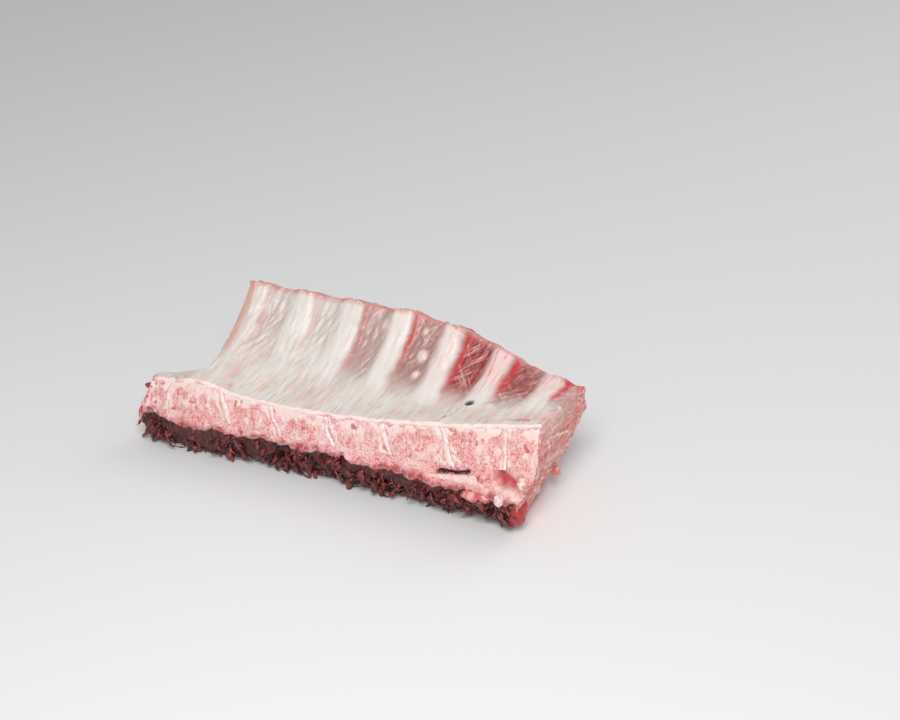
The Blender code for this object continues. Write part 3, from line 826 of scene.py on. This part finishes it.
# %% [markdown]
# ## The ribs
# The bones run inside the flesh and show where they were sawn, along the rim: a white ring of hard bone
# around red marrow. Each is an oval carried along a line under the membrane.

# %% Rib bones
RIB_HALF_WIDTH, RIB_HALF_THICKNESS, RIB_DEPTH = 0.0052, 0.0031, 0.0050
RIB_START, RIB_PROUD = 0.24, -0.0004
RIB_ROWS, RIB_AROUND, RIB_LID = 40, 40, 8


def rib_rings(index):
    """Ovals across a line that lies a fixed depth under the inner curve, from the spine to the rim."""
    base = rib_base(index)
    out = np.linspace(RIB_START, 1.0, RIB_ROWS)
    inner = inner_curve(np.full_like(out, base / SPINE_LENGTH), out)
    run = np.stack([base + RIB_LEAN * out, inner[:, 0], inner[:, 1]], axis=-1)
    tangent = np.gradient(run, axis=0)
    tangent = tangent / np.linalg.norm(tangent, axis=1, keepdims=True)
    side = np.cross(tangent, np.cross(np.array([1.0, 0.0, 0.0]), tangent))
    side = side / np.linalg.norm(side, axis=1, keepdims=True)
    up = np.cross(side, tangent)
    relief = RIDGE_HEIGHT * smooth(*RIDGE_FADE, out) * 0.5
    centre = run + up * (relief - RIB_DEPTH)[:, None]
    centre[-1] += tangent[-1] * RIB_PROUD
    turn = np.linspace(0.0, 2.0 * math.pi, RIB_AROUND, endpoint=False)
    across = side[:, None, :] * (RIB_HALF_WIDTH * np.cos(turn))[None, :, None]
    return centre[:, None, :] + across + up[:, None, :] * (RIB_HALF_THICKNESS * np.sin(turn))[None, :, None]


ribs = []
for index in range(RIB_COUNT):
    all_rings, points, faces = capped_tube(rib_rings(index), RIB_LID)
    rows = np.arange(len(all_rings))
    marrow = smooth(0.0, 3.0, rows - (RIB_ROWS + RIB_LID))
    masks = {"plate": np.repeat(1.0 - marrow, RIB_AROUND), "cortex": np.zeros(len(points))}
    rib = add_piece(f"rib_{index + 1}_bone", points, faces, [f"rib_{index + 1}"], masks)
    rib.data.materials.append(spongy_bone)
    ribs.append(rib)
print("made", len(ribs), "ribs")

# %% Arch plate below the spinal canal
ARCH_X, ARCH_FROM, ARCH_HEIGHT, ARCH_DEPTH = (0.180, 0.2150), 0.0287, (0.0016, 0.0080), 0.006


def arch_rings(rows=60):
    """Rounded rings of the plate: a superellipse in (down, deep), higher towards the right."""
    share = np.linspace(0.0, 1.0, rows)[:, None]
    x = ARCH_X[0] + (ARCH_X[1] - ARCH_X[0]) * share
    height = ARCH_HEIGHT[0] + (ARCH_HEIGHT[1] - ARCH_HEIGHT[0]) * share
    turn = np.linspace(0.0, 2.0 * math.pi, 48, endpoint=False)[None, :]
    down_wave, deep_wave = [np.sign(wave) * np.abs(wave) ** 0.5 for wave in (np.cos(turn), np.sin(turn))]
    down = ARCH_FROM + height / 2 + height / 2 * down_wave
    deep = ARCH_DEPTH / 2 - 0.0004 + ARCH_DEPTH / 2 * deep_wave
    return face_point((x + 0.0 * down) / SPINE_LENGTH, down, deep)


all_rings, points, faces = capped_tube(arch_rings())
points = points + 0.00025 * rough(points, 0.003, 2, 161)[:, None] * face_normal
masks = {"plate": np.full(len(points), 0.6), "cortex": np.zeros(len(points))}
arch = add_piece("arch_plate_bone", points, faces, ["arch_plate"], masks)
arch.data.materials.append(spongy_bone)

# %% [markdown]
# ## Torn meat under the sawn face
# Below the sawn bone the meat hangs in ragged fibres. Each is a tapered, uneven tube along a short falling
# curve, and a few hundred of them make one mesh. All are worked out together, as one array.

# %% Hanging fibres
FIBRE_COUNT, FIBRE_ROWS, FIBRE_AROUND = 260, 9, 7
draw = np.random.default_rng(7)
fibre_along = draw.uniform(0.0, 0.985, FIBRE_COUNT)
fibre_out = draw.uniform(0.0, 0.15, FIBRE_COUNT)
fibre_root = block(fibre_along, fibre_out, np.ones(FIBRE_COUNT))[0]
fibre_length = 0.0025 + 0.0085 * draw.uniform(0.0, 1.0, FIBRE_COUNT) ** 2
fibre_radius = 0.0007 + 0.0018 * draw.uniform(0.0, 1.0, FIBRE_COUNT) ** 2
fibre_swing = draw.uniform(-1.0, 1.0, FIBRE_COUNT)


def hanging_fibres():
    """Rings along root + length (swing s^2, -bow s, -s): sideways, outwards and down, tapering to the tip."""
    s = np.linspace(0.0, 1.0, FIBRE_ROWS)[None, :]
    length = fibre_length[:, None]
    sideways = fibre_swing[:, None] * s**2
    path = np.stack(np.broadcast_arrays(sideways, -0.45 * s + 0.25 * s**2, -0.85 * s), axis=-1)
    centre = fibre_root[:, None, :] + path * length[..., None]
    wobble = np.stack([noise(centre, 0.003, 201 + k) for k in range(3)], axis=-1)
    centre = centre + wobble * (0.0022 * s)[..., None]
    centre[..., 2] = np.maximum(centre[..., 2], 0.0004)
    turn = np.linspace(0.0, 2.0 * math.pi, FIBRE_AROUND, endpoint=False)
    circle = np.stack([np.cos(turn), np.sin(turn), 0.35 * np.cos(turn)], axis=-1)
    radius = fibre_radius[:, None] * (1.0 - 0.65 * s**3) * (1.0 + 0.45 * noise(centre, 0.0018, 205))
    rings = centre[:, :, None, :] + radius[..., None, None] * circle
    rings[..., 2] = np.maximum(rings[..., 2], 0.0)
    return rings


fibre_rings = hanging_fibres()
one_fibre = tube_faces(FIBRE_ROWS, FIBRE_AROUND)[:, ::-1]
per_fibre = FIBRE_ROWS * FIBRE_AROUND
sides = [tuple(face + per_fibre * k) for k in range(FIBRE_COUNT) for face in one_fibre]
ends = [tuple(range(per_fibre * k, per_fibre * k + FIBRE_AROUND)) for k in range(FIBRE_COUNT)]
tip_ends = [per_fibre * (k + 1) for k in range(FIBRE_COUNT)]
tips = [tuple(range(last - FIBRE_AROUND, last))[::-1] for last in tip_ends]
fibres = add_piece("hanging_fibres", fibre_rings.reshape(-1, 3), sides + ends + tips)


def raw_finish(name, first, second, coat=0.3):
    """Raw meat or fat of two mixed colours, wet."""
    f = Finish(name)
    cloudy = f.speckle(0.004, 3.0)
    fine = f.speckle(0.0012, 2.0)
    colour = f.mix(f.step(cloudy, 0.38, 0.66), first, second)
    return f.wet(colour, 0.34 + 0.25 * fine, fine, 0.3, 0.0004, coat, 0.15)


# The fibres hang under the sawn face, and their dark red is painted shade as well as raw meat.
fibres.data.materials.append(raw_finish("shaded_torn_meat", RAW_RED_WITH_PAINTED_SHADE, RAW_PALE))
print("made", FIBRE_COUNT, "hanging fibres")

# %% [markdown]
# ## Lumps and tags
# Small pieces of fat, gristle and meat stand out at the ends. Each is a ball whose radius is changed by
# noise, stretched to its size.

# %% Lump surface
LUMP_ROWS, LUMP_AROUND = 24, 32


def add_lump(name, centre, radii, finish, seed, uneven=0.22, grain=0.55):
    """A ball in polar angles, with radius 1 + uneven * noise, scaled along x, y and z."""
    down = np.linspace(0.02, math.pi - 0.02, LUMP_ROWS)[:, None]
    turn = np.linspace(0.0, 2.0 * math.pi, LUMP_AROUND, endpoint=False)[None, :]
    ball = [np.sin(down) * np.cos(turn), np.sin(down) * np.sin(turn), np.cos(down) + 0.0 * turn]
    ball = np.stack(ball, axis=-1)
    ball = ball * (1.0 + uneven * rough(ball + seed, grain, 3, seed))[..., None]
    points = (np.array(centre) + ball * np.array(radii)).reshape(-1, 3)
    points[:, 2] = np.maximum(points[:, 2], 0.0)
    faces = outward(points, tube_faces(LUMP_ROWS, LUMP_AROUND)).tolist()
    turned = faces[0][1] == 1
    first, last = list(range(LUMP_AROUND)), list(range(len(points) - LUMP_AROUND, len(points)))
    faces += [first[::-1] if turned else first, last if turned else last[::-1]]
    lump = add_piece(name, points, faces)
    lump.data.materials.append(finish)
    return lump


def on_sawn_face(x, down, deep=0.0):
    """A point on the sawn face, for placing lumps."""
    return face_point(np.array(x / SPINE_LENGTH), down, deep)


# %% The lumps and tags
fat_finish = raw_finish("fat", BONE_WHITE, RIM_PINK, 0.45)
red_finish = raw_finish("red_meat", BLOOD, RAW_PALE, 0.4)
pink_finish = raw_finish("pink_meat", BONE_RED, BONE_PINK, 0.4)
foot = float(face_width(np.array(0.92)))
knuckle_middle = on_sawn_face(0.2150, 0.0335, 0.0022)
add_lump("end_knuckle", knuckle_middle, (0.0065, 0.0030, 0.0050), pink_finish, 1, 0.35)
knob_middle = on_sawn_face(0.2245, foot + 0.0005)
add_lump("gristle_knob", knob_middle, (0.0028, 0.0026, 0.0036), gristle_finish(), 2, 0.12)
strip_middle = on_sawn_face(0.2110, foot - 0.001, 0.001)
add_lump("gristle_strip", strip_middle, (0.0085, 0.0028, 0.0030), pink_finish, 3, 0.18)
add_lump("corner_lobe", (0.2335, -0.0125, 0.0150), (0.0048, 0.0050, 0.0090), red_finish, 4, 0.3)
fat_middle = on_sawn_face(0.2360, 0.0330, 0.001)
add_lump("corner_fat", fat_middle, (0.0030, 0.0022, 0.0050), fat_finish, 5, 0.25)
add_lump("left_tag", (-0.0015, -0.0010, 0.0365), (0.0028, 0.0022, 0.0016), red_finish, 6, 0.35)
add_lump("right_tag", (0.2405, 0.0330, 0.0150), (0.0022, 0.0030, 0.0028), pink_finish, 7, 0.35)
print("made the lumps and tags")

# %% [markdown]
# ## Floor, light and camera
# A pale floor, soft white light from the upper right of the viewer and a weak one from behind, so that a
# colour shows about as it is written.

# %% Floor
floor_mesh = bpy.data.meshes.new("floor")
floor_mesh.from_pydata([(-3, -3, 0), (3, -3, 0), (3, 3, 0), (-3, 3, 0)], [], [(0, 1, 2, 3)])
floor = bpy.data.objects.new("floor", floor_mesh)
bpy.context.scene.collection.objects.link(floor)
floor_finish = bpy.data.materials.new("floor")
floor_finish.use_nodes = True
floor_shader = floor_finish.node_tree.nodes["Principled BSDF"]
floor_shader.inputs["Base Color"].default_value = (0.80, 0.80, 0.80, 1.0)
floor_shader.inputs["Roughness"].default_value = 0.7
floor.data.materials.append(floor_finish)

# %% Lamps and world
world = bpy.data.worlds.new("studio")
world.use_nodes = True
world.node_tree.nodes["Background"].inputs[0].default_value = (1.0, 1.0, 1.0, 1.0)
world.node_tree.nodes["Background"].inputs[1].default_value = 0.38
bpy.context.scene.world = world


AIM_POINT = (0.0, 0.0, 0.03)


def add_lamp(name, place, size, power):
    """A square area lamp that faces the middle of the rack."""
    lamp = bpy.data.lights.new(name, "AREA")
    lamp.size, lamp.energy = size, power
    made = bpy.data.objects.new(name, lamp)
    made.location = place
    toward = np.array(AIM_POINT) - place
    made.rotation_euler = Vector(toward).to_track_quat("-Z", "Y").to_euler()
    bpy.context.scene.collection.objects.link(made)


add_lamp("key", np.array([0.30, -0.75, 0.95]), 0.5, 10.5)
add_lamp("back", np.array([0.6, 0.9, 0.9]), 0.8, 3.5)

# %% Camera
AZIMUTH, ELEVATION, DISTANCE = math.radians(22), math.radians(30), 1.1
FOCAL_WIDTHS = 2.0924
AIM_RIGHT, AIM_UP = 0.05198, 0.02979
back = np.array(
    [
        math.sin(AZIMUTH) * math.cos(ELEVATION),
        -math.cos(AZIMUTH) * math.cos(ELEVATION),
        math.sin(ELEVATION),
    ]
)
right = np.array([math.cos(AZIMUTH), math.sin(AZIMUTH), 0.0])
camera_data = bpy.data.cameras.new("camera")
camera_data.lens = FOCAL_WIDTHS * camera_data.sensor_width
camera = bpy.data.objects.new("camera", camera_data)
aside = AIM_RIGHT * right + AIM_UP * np.cross(back, right)
camera.location = np.array(AIM_POINT) + DISTANCE * back + aside
camera.rotation_euler = (math.pi / 2 - ELEVATION, 0.0, AZIMUTH)
bpy.context.scene.collection.objects.link(camera)
bpy.context.scene.camera = camera
bpy.context.scene.view_settings.view_transform = "Standard"
